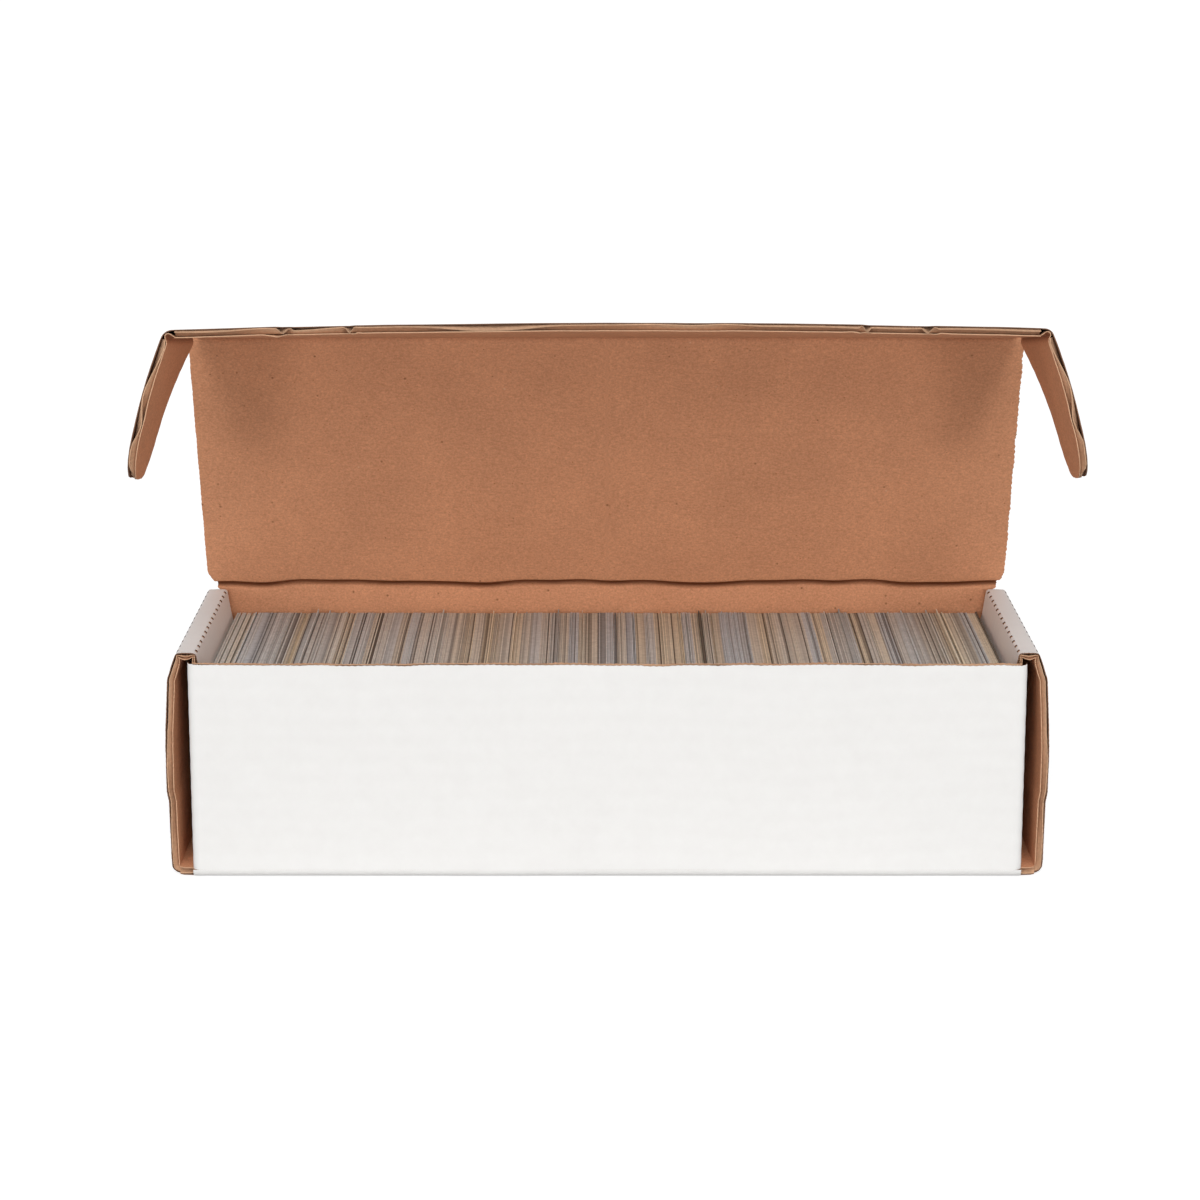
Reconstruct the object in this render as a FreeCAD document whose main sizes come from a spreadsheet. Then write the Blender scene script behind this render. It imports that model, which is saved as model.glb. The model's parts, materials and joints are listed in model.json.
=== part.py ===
"""One-piece corrugated card box with rolled ends, a hinged lid with tuck flap and ears, and its row of cards.

Millimetres. The origin is the middle of the underside, +Z is up, the front panel faces -Y and the row of
cards runs along X. Every panel is a laminate: a white outer liner, a fluted medium and a kraft inner liner.
The flutes run along the length of the box, as they do on the flat blank.
"""

import FreeCAD, Part
import math
import os
import re
import Sketcher

SIZES = {
    # Board
    "board": 2.6,
    "liner": 0.3,
    "medium": 0.45,
    "flute_pitch": 6.35,
    "flute_crest": 1.2,
    # Tray
    "inner_length": 263.2,
    "front_drop": 2.9,
    "ply_gap": 0.1,
    # Rolled ends
    "end_setback": 5.0,
    "roll_width": 6.4,
    "wall_shoulder_drop": 8.8,
    "inner_shoulder_drop": 5.8,
    "inner_end_gap": 0.3,
    "inner_end_corner": 6.0,
    "slit_length": 2.2,
    "slit_width": 0.8,
    "slit_depth": 2.8,
    "slit_pitch": 6.35,
    "slit_margin": 4.0,
    # Corner flaps between the two skins of each rolled end
    "corner_flap_spacing": 11.4,
    "corner_flap_clearance": 1.5,
    # Hinged creases
    "crease_gap": 0.3,
    "lid_clearance": 0.4,
    "flap_clearance": 0.4,
    "ear_inner_clearance": 0.6,
    "ear_outer_clearance": 1.4,
    # Lid
    "lid_width": 282.5,
    "lid_corner_width": 3.0,
    "lid_corner_height": 5.0,
    "lid_lean": 21.0,
    # Tuck flap
    "flap_length": 75.0,
    "flap_bend": 60.0,
    "notch_place": 91.5,
    "notch_width": 25.0,
    "notch_slope": 4.5,
    "notch_depth": 7.0,
    # Ears
    "ear_start": 10.0,
    "ear_end": 73.5,
    "ear_reach": 47.6,
    "ear_bend": 75.0,
    "ear_shoulder": 11.0,
    "ear_slope_reach": 27.0,
    "ear_slope_drop": 22.5,
    "ear_tip_corner": 12.0,
    # Cards
    "card_width": 88.9,
    "card_height": 63.5,
    "card_front_gap": 5.75,
    "card_rear_gap": 0.75,
    "card_headroom": 9.2,
    "card_end_gap": 0.4,
    "packet_width": 6.0,
    "packet_step": 0.6,
}

# Places that several pieces share, each worked out from the sizes above. The tray is sized round one card.
INNER_DEPTH = "(card_width + card_front_gap + card_rear_gap)"
ROLL_HEIGHT = "(board + card_height + card_headroom)"
FRONT_HEIGHT = f"({ROLL_HEIGHT} - front_drop)"
DEPTH_IN = f"({INNER_DEPTH} / 2)"
DEPTH_OUT = f"({DEPTH_IN} + board)"
DEPTH_END = f"({DEPTH_OUT} - end_setback)"
INNER_FACE = "(inner_length / 2)"
INNER_MID = f"({INNER_FACE} + board / 2)"
CORNER_MID = f"({INNER_FACE} + board + ply_gap + board / 2)"
CORNER_FOLD = f"({CORNER_MID} - board / 2)"
EAR_AXIS = f"({CORNER_MID} + board + ear_inner_clearance)"
WALL_FOLD = f"({EAR_AXIS} + board / 2 + ear_outer_clearance)"
WALL_MID = f"({WALL_FOLD} + board / 2)"
WALL_TOP = f"({ROLL_HEIGHT} - wall_shoulder_drop)"
INNER_TOP = f"({ROLL_HEIGHT} - inner_shoulder_drop)"
CORNER_TOP = f"({INNER_TOP} - corner_flap_clearance)"
HINGE_START = "(board / 2 + crease_gap)"
LID_AXIS_Y = f"({DEPTH_IN} + board / 2)"
LID_AXIS_Z = f"({ROLL_HEIGHT} + lid_clearance + board / 2)"
LID_LENGTH = f"(2 * {DEPTH_OUT} + flap_clearance)"
FLAP_AXIS_Y = f"({LID_AXIS_Y} - {LID_LENGTH} * sin(lid_lean))"
FLAP_AXIS_Z = f"({LID_AXIS_Z} + {LID_LENGTH} * cos(lid_lean))"
FLAP_SIDE = f"({EAR_AXIS} - board)"

# How a panel lies: its local X runs along its flutes and its local Z points from the white to the kraft face.
FLAT = "rotationx(0)"
FACING_BACK = "rotationx(90)"
FACING_FRONT = "rotationz(180) * rotationx(90)"
FACING_LEFT = "rotationz(180) * rotationy(-90)"
FACING_RIGHT = "rotationy(-90)"
CORNER_LEFT = "rotationz(90) * rotationx(90)"
CORNER_RIGHT = "rotationz(-90) * rotationx(90)"
LID_TURN = "rotationx(90 + lid_lean)"
FLAP_TURN = "rotationx(90 + lid_lean + flap_bend)"

doc = FreeCAD.newDocument("CardBox")
sheet = doc.addObject("Spreadsheet::Sheet", "Sizes")
for row, (alias, number) in enumerate(SIZES.items(), start=1):
    sheet.set(f"A{row}", alias)
    sheet.set(f"B{row}", str(number))
    sheet.setAlias(f"B{row}", alias)
doc.recompute()

nodes = []


def cells(text):
    """The expression with each size's name pointed at its cell."""
    return re.sub(r"[a-z_]+", lambda word: f"Sizes.{word[0]}" if word[0] in SIZES else word[0], text)


def value(text):
    return float(sheet.evalExpression(cells(text)))


def bind(item, prop, text):
    item.setExpression(prop, cells(text))


def place(item, turn, x="0", y="0", z="0"):
    bind(item, "Placement", f"placement(vector({x}; {y}; {z}); {turn})")


def add_body(name):
    body = doc.addObject("PartDesign::Body", name)
    nodes.append(body)
    return body


def add_outline(body, plane, loops, lift="0"):
    """Sketch of closed loops: lists of corners (x, y), or (x, y, radius) where an arc leads to the next."""
    sketch = body.newObject("Sketcher::SketchObject", f"{body.Name}_sketch")
    support = [feature for feature in body.Origin.OriginFeatures if feature.Role == plane]
    sketch.AttachmentSupport = [(support[0], "")]
    sketch.MapMode = "FlatFace"
    bind(sketch, "AttachmentOffset.Base.z", lift)
    for corners in loops:
        draw_loop(sketch, corners)
    return sketch


def draw_loop(sketch, corners):
    points = [FreeCAD.Vector(value(corner[0]), value(corner[1]), 0) for corner in corners]
    first = sketch.GeometryCount
    for index, corner in enumerate(corners):
        start = points[index]
        end = points[(index + 1) % len(points)]
        if len(corner) == 2:
            sketch.addGeometry(Part.LineSegment(start, end))
        else:
            sketch.addGeometry(arc_between(start, end, value(corner[2])))
    for index, corner in enumerate(corners):
        edge = first + index
        following = first + (index + 1) % len(corners)
        sketch.addConstraint(Sketcher.Constraint("Coincident", edge, 2, following, 1))
        tie(sketch, Sketcher.Constraint("DistanceX", -1, 1, edge, 1, points[index].x), corner[0])
        tie(sketch, Sketcher.Constraint("DistanceY", -1, 1, edge, 1, points[index].y), corner[1])
        if len(corner) == 3:
            tie(sketch, Sketcher.Constraint("Radius", edge, value(corner[2])), corner[2])


def arc_between(start, end, radius):
    """Counter-clockwise arc of less than half a circle."""
    chord = end - start
    half = chord.Length / 2
    left = FreeCAD.Vector(-chord.y, chord.x, 0).normalize()
    centre = (start + end) * 0.5 + left * math.sqrt(radius * radius - half * half)
    angles = [math.atan2(point.y - centre.y, point.x - centre.x) for point in (start, end)]
    return Part.ArcOfCircle(Part.Circle(centre, FreeCAD.Vector(0, 0, 1), radius), *angles)


def tie(sketch, constraint, text):
    index = sketch.addConstraint(constraint)
    bind(sketch, f"Constraints[{index}]", text)


def add_pad(body, sketch, length, both_ways=False):
    pad = body.newObject("PartDesign::Pad", f"{body.Name}_pad")
    pad.Profile = sketch
    pad.Midplane = both_ways
    bind(pad, "Length", length)
    body.Tip = pad
    return pad


def add_row(body, feature, sketch, axis, length, count):
    """The feature repeated in a straight row along one axis of its sketch."""
    doc.recompute()
    pattern = body.newObject("PartDesign::LinearPattern", f"{body.Name}_row")
    pattern.Originals = [feature]
    pattern.Direction = (sketch, [axis])
    bind(pattern, "Length", length)
    bind(pattern, "Occurrences", count)
    body.Tip = pattern
    return pattern


def add_liner(name, outline, lift):
    body = add_body(name)
    add_pad(body, add_outline(body, "XY_Plane", [outline], lift), "liner")
    return body


def add_flutes(name, outline, span, shaped):
    """Corrugated medium: one flute drawn across the board, run along it, repeated and cut to the outline."""
    low_x, high_x, low_y, high_y = span
    body = add_body(name)
    count = f"max(1; round(({high_y} - {low_y}) / flute_pitch))"
    pitch = f"(({high_y} - {low_y}) / {count})"
    top = "(board / 2 - liner)"
    bottom = "(liner - board / 2)"
    steps = [
        (low_y, top),
        (f"{low_y} + flute_crest / 2", top),
        (f"{low_y} + {pitch} / 2 - flute_crest / 2", f"{bottom} + medium"),
        (f"{low_y} + {pitch} / 2 + flute_crest / 2", f"{bottom} + medium"),
        (f"{low_y} + {pitch} - flute_crest / 2", top),
        (f"{low_y} + {pitch}", top),
    ]
    underside = [(y, f"{z} - medium") for y, z in reversed(steps)]
    wave = add_outline(body, "YZ_Plane", [underside[::-1] + steps[::-1]], low_x)
    flute = add_pad(body, wave, f"{high_x} - ({low_x})")
    add_row(body, flute, wave, "H_Axis", f"{high_y} - ({low_y}) - {pitch}", count)
    if shaped:
        trim(body, outline, span)
    return body


def trim(body, outline, span):
    """Cuts away what lies outside the outline."""
    low_x, high_x, low_y, high_y = span
    frame = [
        (f"{low_x} - board", f"{low_y} - board"),
        (f"{high_x} + board", f"{low_y} - board"),
        (f"{high_x} + board", f"{high_y} + board"),
        (f"{low_x} - board", f"{high_y} + board"),
    ]
    doc.recompute()
    before = body.Shape.Volume
    pocket = body.newObject("PartDesign::Pocket", f"{body.Name}_trim")
    pocket.Profile = add_outline(body, "XY_Plane", [frame, outline])
    pocket.Midplane = True
    bind(pocket, "Length", "2 * board")
    body.Tip = pocket
    doc.recompute()
    if body.Shape.Volume >= before:
        raise RuntimeError(f"{body.Name}: the trim cut nothing")


def rectangle(low_x, high_x, low_y, high_y):
    return [(low_x, low_y), (high_x, low_y), (high_x, high_y), (low_x, high_y)]


def add_panel(name, span, turn, x="0", y="0", z="0", outline=None):
    """One laminated panel: white liner, flutes and kraft liner about the panel's middle plane."""
    edge = outline or rectangle(*span)
    layers = [
        add_liner(f"{name}_white_liner", edge, "-board / 2"),
        add_flutes(f"{name}_flutes", edge, span, outline is not None),
        add_liner(f"{name}_kraft_liner", edge, "board / 2 - liner"),
    ]
    for layer in layers:
        place(layer, turn, x, y, z)


def add_fold(name, length, turn, x, y, z):
    """Crushed quarter-round fold between two panels that meet at a right angle."""
    fold = doc.addObject("Part::Cylinder", name)
    fold.Angle = 90
    bind(fold, "Radius", "board")
    bind(fold, "Height", length)
    place(fold, turn, x, y, z)
    nodes.append(fold)


def add_crease(name, length, turn, x, y, z):
    """Rounded edge that a hinged panel folds about: its round is centred on the fold's axis."""
    body = add_body(name)
    half = "board / 2"
    edge = [
        ("-board", f"-{half}"),
        ("0", f"-{half}", half),
        (half, "0", half),
        ("0", half),
        ("-board", half),
    ]
    add_pad(body, add_outline(body, "YZ_Plane", [edge]), length, both_ways=True)
    place(body, turn, x, y, z)


def add_roll(name, turn):
    """Top of a rolled end, from the outer wall over two perforated creases to the inner end."""
    middle = f"(({INNER_FACE} + {WALL_FOLD} + board) / 2)"
    near = f"({middle} - roll_width / 2)"
    far = f"({middle} + roll_width / 2)"
    # The underside's corners stand in by the board's thickness on each sloping shoulder.
    tuck = "(board / 2)"
    edge = [
        (INNER_FACE, INNER_TOP),
        (f"{INNER_FACE} + board", INNER_TOP),
        (f"{near} + {tuck}", f"{ROLL_HEIGHT} - board"),
        (f"{far} - {tuck}", f"{ROLL_HEIGHT} - board"),
        (WALL_FOLD, WALL_TOP),
        (f"{WALL_FOLD} + board", WALL_TOP),
        (far, ROLL_HEIGHT),
        (near, ROLL_HEIGHT),
    ]
    body = add_body(name)
    add_pad(body, add_outline(body, "XZ_Plane", [edge]), f"2 * {DEPTH_END}", both_ways=True)
    doc.recompute()
    before = body.Shape.Volume
    first = f"(slit_margin - {DEPTH_END})"
    slits = [
        rectangle(f"{line} - slit_width / 2", f"{line} + slit_width / 2",
                  f"{first} - slit_length / 2", f"{first} + slit_length / 2")
        for line in (near, far)
    ]
    pocket = body.newObject("PartDesign::Pocket", f"{name}_slits")
    pocket.Profile = add_outline(body, "XY_Plane", slits, ROLL_HEIGHT)
    bind(pocket, "Length", "slit_depth")
    body.Tip = pocket
    span = f"(2 * ({DEPTH_END} - slit_margin))"
    add_row(body, pocket, pocket.Profile[0], "V_Axis", span, f"round({span} / slit_pitch) + 1")
    doc.recompute()
    if body.Shape.Volume >= before:
        raise RuntimeError(f"{name}: the slits cut nothing")
    place(body, turn)


def add_tray():
    add_panel("bottom", (f"-{WALL_FOLD}", WALL_FOLD, f"-{DEPTH_IN}", DEPTH_IN), FLAT, z="board / 2")
    across = (f"-{CORNER_FOLD}", CORNER_FOLD)
    add_panel("front", (*across, "board", FRONT_HEIGHT), FACING_FRONT, y=f"board / 2 - {DEPTH_OUT}")
    add_panel("back", (*across, "board", f"{LID_AXIS_Z} - board"), FACING_BACK, y=LID_AXIS_Y)
    length = f"2 * {CORNER_FOLD}"
    front_fold = "rotationy(90) * rotationz(-90)"
    add_fold("front_bottom_fold", length, front_fold, f"-{CORNER_FOLD}", f"-{DEPTH_IN}", "board")
    add_fold("back_bottom_fold", length, "rotationy(90)", f"-{CORNER_FOLD}", DEPTH_IN, "board")


def add_ends():
    """Outer wall, perforated roll and inner end at each end, with their folds."""
    wall = ("board", WALL_TOP, f"-{DEPTH_END}", DEPTH_END)
    width = f"({DEPTH_IN} - inner_end_gap)"
    inner = ("board", INNER_TOP, f"-{width}", width)
    inner_edge = [
        ("board", f"-{width}"),
        (f"{INNER_TOP} - inner_end_corner", f"-{width}", "inner_end_corner"),
        (INNER_TOP, f"inner_end_corner - {width}"),
        (INNER_TOP, f"{width} - inner_end_corner", "inner_end_corner"),
        (f"{INNER_TOP} - inner_end_corner", width),
        ("board", width),
    ]
    length = f"2 * {DEPTH_END}"
    add_panel("left_wall", wall, FACING_LEFT, x=f"-{WALL_MID}")
    add_panel("right_wall", wall, FACING_RIGHT, x=WALL_MID)
    add_panel("left_inner_end", inner, FACING_RIGHT, x=f"-{INNER_MID}", outline=inner_edge)
    add_panel("right_inner_end", inner, FACING_LEFT, x=INNER_MID, outline=inner_edge)
    add_roll("left_roll", "rotationz(180)")
    add_roll("right_roll", FLAT)
    left_fold = "rotationx(-90) * rotationz(90)"
    add_fold("left_bottom_fold", length, left_fold, f"-{WALL_FOLD}", f"-{DEPTH_END}", "board")
    add_fold("right_bottom_fold", length, "rotationx(-90)", WALL_FOLD, f"-{DEPTH_END}", "board")


def add_corner_flaps():
    """Flaps turned in from the front and back panels, held between the skins of the rolled ends."""
    free_edge = "(corner_flap_spacing / 2)"
    near = (f"-{DEPTH_IN}", f"-{free_edge}", "board", CORNER_TOP)
    far = (free_edge, DEPTH_IN, "board", CORNER_TOP)
    add_panel("front_left_flap", near, CORNER_LEFT, x=f"-{CORNER_MID}")
    add_panel("back_left_flap", far, CORNER_LEFT, x=f"-{CORNER_MID}")
    add_panel("front_right_flap", far, CORNER_RIGHT, x=CORNER_MID)
    add_panel("back_right_flap", near, CORNER_RIGHT, x=CORNER_MID)
    front = f"{FRONT_HEIGHT} - board"
    back = f"{LID_AXIS_Z} - 2 * board"
    left, right = f"-{CORNER_FOLD}", CORNER_FOLD
    add_fold("front_left_fold", front, "rotationz(180)", left, f"-{DEPTH_IN}", "board")
    add_fold("front_right_fold", front, "rotationz(-90)", right, f"-{DEPTH_IN}", "board")
    add_fold("back_left_fold", back, "rotationz(90)", left, DEPTH_IN, "board")
    add_fold("back_right_fold", back, FLAT, right, DEPTH_IN, "board")


def add_lid():
    half = "lid_width / 2"
    top = f"({LID_LENGTH} - board)"
    edge = [
        (f"lid_corner_width - {half}", HINGE_START),
        (f"{half} - lid_corner_width", HINGE_START),
        (half, f"{HINGE_START} + lid_corner_height"),
        (half, top),
        (f"-{half}", top),
        (f"-{half}", f"{HINGE_START} + lid_corner_height"),
    ]
    span = (f"-{half}", half, HINGE_START, top)
    add_panel("lid", span, LID_TURN, y=LID_AXIS_Y, z=LID_AXIS_Z, outline=edge)
    add_crease("lid_crease", f"2 * {CORNER_FOLD}", FACING_BACK, "0", LID_AXIS_Y, LID_AXIS_Z)
    add_crease("flap_crease", f"2 * {FLAP_SIDE}", LID_TURN, "0", FLAP_AXIS_Y, FLAP_AXIS_Z)


def add_tuck_flap():
    """Flap with two shallow notches in its free edge."""
    lip = "(notch_width / 2)"
    root = f"({lip} - notch_slope)"
    inset = "(flap_length - notch_depth)"
    edge = [(f"-{FLAP_SIDE}", HINGE_START), (FLAP_SIDE, HINGE_START), (FLAP_SIDE, "flap_length")]
    for middle in ("notch_place", "-notch_place"):
        edge += [
            (f"{middle} + {lip}", "flap_length"),
            (f"{middle} + {root}", inset),
            (f"{middle} - {root}", inset),
            (f"{middle} - {lip}", "flap_length"),
        ]
    edge.append((f"-{FLAP_SIDE}", "flap_length"))
    span = (f"-{FLAP_SIDE}", FLAP_SIDE, HINGE_START, "flap_length")
    add_panel("tuck_flap", span, FLAP_TURN, y=FLAP_AXIS_Y, z=FLAP_AXIS_Z, outline=edge)


def add_ears():
    """Rounded ears at the ends of the tuck flap, with a sloped edge that leads them into the rolled ends."""
    slope_end = "(ear_start + ear_slope_drop)"
    reach = "(ear_reach - ear_tip_corner)"
    edge = [
        (HINGE_START, "ear_start"),
        ("ear_shoulder", "ear_start"),
        ("ear_slope_reach", slope_end),
        (reach, slope_end, "ear_tip_corner"),
        ("ear_reach", f"{slope_end} + ear_tip_corner"),
        ("ear_reach", "ear_end - ear_tip_corner", "ear_tip_corner"),
        (reach, "ear_end"),
        (HINGE_START, "ear_end"),
    ]
    mirrored = [(f"-({x})", y) for x, y, *arc in reversed(edge)]
    for index in (1, 3):
        mirrored[index] = (*mirrored[index], "ear_tip_corner")
    span = (HINGE_START, "ear_reach", "ear_start", "ear_end")
    opposite = ("-ear_reach", f"-{HINGE_START}", "ear_start", "ear_end")
    right_turn = f"{FLAP_TURN} * rotationy(-ear_bend)"
    left_turn = f"{FLAP_TURN} * rotationy(ear_bend)"
    add_panel("right_ear", span, right_turn, EAR_AXIS, FLAP_AXIS_Y, FLAP_AXIS_Z, edge)
    add_panel("left_ear", opposite, left_turn, f"-{EAR_AXIS}", FLAP_AXIS_Y, FLAP_AXIS_Z, mirrored)
    length = "ear_end - ear_start"
    middle = "((ear_start + ear_end) / 2)"
    for name, side, quarter in (("right_ear_crease", EAR_AXIS, -90), ("left_ear_crease", f"-{EAR_AXIS}", 90)):
        add_crease(
            name, length, f"{FLAP_TURN} * rotationz({quarter})", side,
            f"{FLAP_AXIS_Y} - {middle} * sin(lid_lean + flap_bend)",
            f"{FLAP_AXIS_Z} + {middle} * cos(lid_lean + flap_bend)",
        )


def add_cards():
    """Full row of cards on edge, in packets whose tops stand at two heights."""
    half = f"({INNER_FACE} - card_end_gap)"
    count = f"round(2 * {half} / packet_width)"
    packet = f"(2 * {half} / {count})"
    top = "(board + card_height)"
    edge = [
        (f"-{half}", "board"),
        (f"{packet} - {half}", "board"),
        (f"{packet} - {half}", f"{top} - packet_step"),
        (f"{packet} / 2 - {half}", f"{top} - packet_step"),
        (f"{packet} / 2 - {half}", top),
        (f"-{half}", top),
    ]
    body = add_body("card_row")
    sketch = add_outline(body, "XZ_Plane", [edge], f"card_rear_gap - {DEPTH_IN}")
    packets = add_pad(body, sketch, "card_width")
    add_row(body, packets, sketch, "H_Axis", f"2 * {half} - {packet}", count)
    place(body, FLAT)


add_tray()
add_ends()
add_corner_flaps()
add_lid()
add_tuck_flap()
add_ears()
add_cards()
doc.recompute()

for item in doc.Objects:
    if {"Invalid", "Error"} & set(item.State):
        raise RuntimeError(f"{item.Label} failed: {item.State}")
for node in nodes:
    if node.Shape.isNull() or not node.Shape.isValid() or len(node.Shape.Solids) != 1:
        raise RuntimeError(f"{node.Label} isn't one valid solid")

os.makedirs("parts", exist_ok=True)
for node in nodes:
    node.Shape.exportStep(f"parts/{node.Label}.step")
print(len(nodes), "sub-parts written")
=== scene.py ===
"""Looks of a folded corrugated box, white outside and kraft inside, with a row of cards on edge in it."""

import json
import math

import bmesh
import bpy
import numpy as np
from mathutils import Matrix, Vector


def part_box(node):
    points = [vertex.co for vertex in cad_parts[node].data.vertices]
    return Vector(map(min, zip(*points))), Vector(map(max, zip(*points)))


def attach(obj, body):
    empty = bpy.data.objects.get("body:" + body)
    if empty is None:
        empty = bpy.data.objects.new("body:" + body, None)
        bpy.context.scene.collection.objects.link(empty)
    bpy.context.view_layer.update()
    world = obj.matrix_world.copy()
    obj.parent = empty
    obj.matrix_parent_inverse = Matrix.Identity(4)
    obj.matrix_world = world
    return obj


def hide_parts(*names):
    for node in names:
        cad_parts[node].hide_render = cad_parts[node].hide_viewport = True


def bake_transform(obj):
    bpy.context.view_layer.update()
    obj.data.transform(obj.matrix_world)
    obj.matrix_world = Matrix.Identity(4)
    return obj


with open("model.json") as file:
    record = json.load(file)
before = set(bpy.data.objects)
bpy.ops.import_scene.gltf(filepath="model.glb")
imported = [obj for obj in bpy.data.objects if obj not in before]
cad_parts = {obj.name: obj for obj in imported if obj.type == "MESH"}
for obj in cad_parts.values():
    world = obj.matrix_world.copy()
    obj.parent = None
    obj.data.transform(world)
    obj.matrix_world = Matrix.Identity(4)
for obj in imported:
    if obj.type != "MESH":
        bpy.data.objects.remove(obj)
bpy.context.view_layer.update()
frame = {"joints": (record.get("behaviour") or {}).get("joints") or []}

bl_info = {
    "name": "Corrugated card box",
    "version": (1, 0, 0),
    "blender": (4, 5, 0),
    "location": "View3D > Sidebar > Card box",
    "description": "Dresses the CAD frame of a corrugated storage box and its row of cards",
    "category": "Object",
}

MM = 0.001
WHITE_OUT = "white_liner"
KRAFT_IN = "kraft_liner"
JOINTS = {joint["name"]: joint for joint in frame["joints"]}
# the kinds of node that are used most
MATH, RANGE, NOISE = "ShaderNodeMath", "ShaderNodeMapRange", "ShaderNodeTexNoise"
RANDOM = "FunctionNodeRandomValue"


def reach_of(node):
    """Lowest and highest corner of a CAD node, in millimetres."""
    low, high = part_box(node)
    return np.array(low) / MM, np.array(high) / MM


def hinge(name):
    """A joint's point in the CAD frame, in millimetres."""
    return np.array(JOINTS[name]["pos_m"]) / MM


FRONT_OUT, FRONT_IN = reach_of("front_white_liner")[0], reach_of("front_kraft_liner")[1]
WALL_HIGH = reach_of("right_wall_white_liner")[1]
INNER_LOW, INNER_HIGH = reach_of("right_inner_end_white_liner")
ROLL_HIGH = reach_of("right_roll")[1]
CORNER_HIGH = reach_of("front_right_flap_white_liner")[1]
LID_HIGH = reach_of("lid_white_liner")[1]
FLAP_LOW, FLAP_HIGH = reach_of("tuck_flap_white_liner")
CARD_LOW, CARD_HIGH = reach_of("card_row")
BOARD = FRONT_IN[1] - FRONT_OUT[1]
LINER = BOARD - (reach_of("front_kraft_liner")[0][1] - FRONT_OUT[1])
LID_AXIS = hinge("lid_hinge")
FLAP_AXIS = hinge("tuck_flap_hinge")
EAR_AXIS = hinge("right_ear_hinge")
LID_LEAN = math.atan2(LID_AXIS[1] - FLAP_AXIS[1], FLAP_AXIS[2] - LID_AXIS[2])
FLAP_WAY = np.array(JOINTS["left_ear_hinge"]["axis"])
FLAP_REACH = np.linalg.norm((FLAP_LOW - FLAP_AXIS)[1:] @ FLAP_WAY[1:])
FLAP_FACING = np.array((0.0, -FLAP_WAY[2], FLAP_WAY[1]))
LID_WAY = np.array((0.0, -math.sin(LID_LEAN), math.cos(LID_LEAN)))
LID_SPAN = np.linalg.norm(FLAP_AXIS - LID_AXIS)
HINGE_SIDE = BOARD
HINGE_START = 1.6
ROLL_SHOULDER = 3.05
EAR_BEND = math.radians(75)
FLAP_RUN = HINGE_SIDE - 0.215  # start of the flap's line to the point of its bend, which the round shortens
NOTCH = 91.5  # middle of the box to the middle of a notch in the flap
SHORT_CARD = 14  # how much lower the short cards at the loose end of the row are
SHARP = math.radians(38)  # cut edges turn more than this, bends in the paper less
DRIFT = 160, 71  # wavelength and seed of the flutes' slow drift
ALONG_X = ((0, 1, 0), (0, 0, 1), (1, 0, 0))  # axes of a fold whose width runs along the box


def linear(code):
    """Linear RGBA of an sRGB hex colour."""
    channels = [int(code[k:k + 2], 16) / 255 for k in (1, 3, 5)]
    return (*(c / 12.92 if c <= 0.04045 else ((c + 0.055) / 1.055) ** 2.4 for c in channels), 1.0)


def size(name, description, millimetres):
    return bpy.props.FloatProperty(
        name=name, description=description, default=millimetres * MM, unit="LENGTH", precision=5
    )


def colour(name, description, code):
    return bpy.props.FloatVectorProperty(
        name=name, description=description, default=linear(code), size=4, subtype="COLOR", min=0, max=1
    )


def whole(name, description, number):
    return bpy.props.IntProperty(name=name, description=description, default=number, min=1)


def angle(name, description, degrees):
    return bpy.props.FloatProperty(
        name=name, description=description, default=math.radians(degrees), subtype="ANGLE"
    )


def plain_number(name, description, number):
    return bpy.props.FloatProperty(name=name, description=description, default=number)


class BoardSettings(bpy.types.PropertyGroup):
    liner: size("Liner", "Thickness of each outer paper", LINER)
    medium: size("Medium", "Thickness of the fluted paper", 0.32)
    pitch: size("Flute pitch", "Distance from flute to flute", 6.35)
    washboard: size("Washboard", "How far the liners follow the flutes", 0.035)
    valley: size("Crease valley", "Depth of the pressed crease on the kraft side", 2.8)
    flap_bow: size("Flap bow", "Rise of the tuck flap's middle over its ends", 1.9)
    ear_bow: size("Ear bow", "How far the ears are curved", 1.3)
    wall_bulge: size("Wall bulge", "How far the outer end walls stand out", 1.2)


class PerforationSettings(bpy.types.PropertyGroup):
    count: whole("Slits", "Slits in each crease line of a roll", 14)
    pitch: size("Slit pitch", "Distance from slit to slit", 6.35)
    length: size("Slit length", "Length of a slit along its crease", 1.9)
    inner_width: size("Inner slit width", "Width of the slits on the card side", 1.05)
    outer_width: size("Outer slit width", "Width of the slits on the wall side", 0.55)


class CardSettings(bpy.types.PropertyGroup):
    count: whole("Cards", "Cards in the row", 560)
    packet: whole("Packet", "Cards that keep about the same tint", 7)
    scatter: size("Height scatter", "How unevenly the cards stand", 0.5)
    bend: size("Bend", "How far the cards curve along the row", 1.6)
    seed: whole("Seed", "Seed of the cards' unevenness", 11)


class FinishSettings(bpy.types.PropertyGroup):
    white: colour("White liner", "Coated white paper", "#EBEAE8")
    kraft: colour("Kraft liner", "Unbleached kraft paper", "#D29570")
    kraft_dark: colour("Kraft fibres", "Darker fibres in the kraft paper", "#B97E5A")
    medium: colour("Fluted medium", "Recycled fluting paper", "#D9AE8C")
    raw: colour("Cut edge", "Cut edge of the kraft paper", "#DAAE8C")
    # back and cut edges of the white liner: brown like its base paper, and darker still as painted shade along
    # the raw edges
    white_edge_and_painted_shade: colour("White liner edge", "Cut edge and back of the white paper", "#86634D")
    # painted shade: the dark inside of the slits stands for the shadow in the holes
    slit: colour("Slit", "Inside of a perforation slit", "#4A3020")
    warm_card: colour("Warm card edge", "Edge of cream card stock", "#D0C5AE")
    cool_card: colour("Cool card edge", "Edge of grey card stock", "#BAC2C7")
    floor: colour("Floor", "Studio floor", "#D0D0D0")


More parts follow.
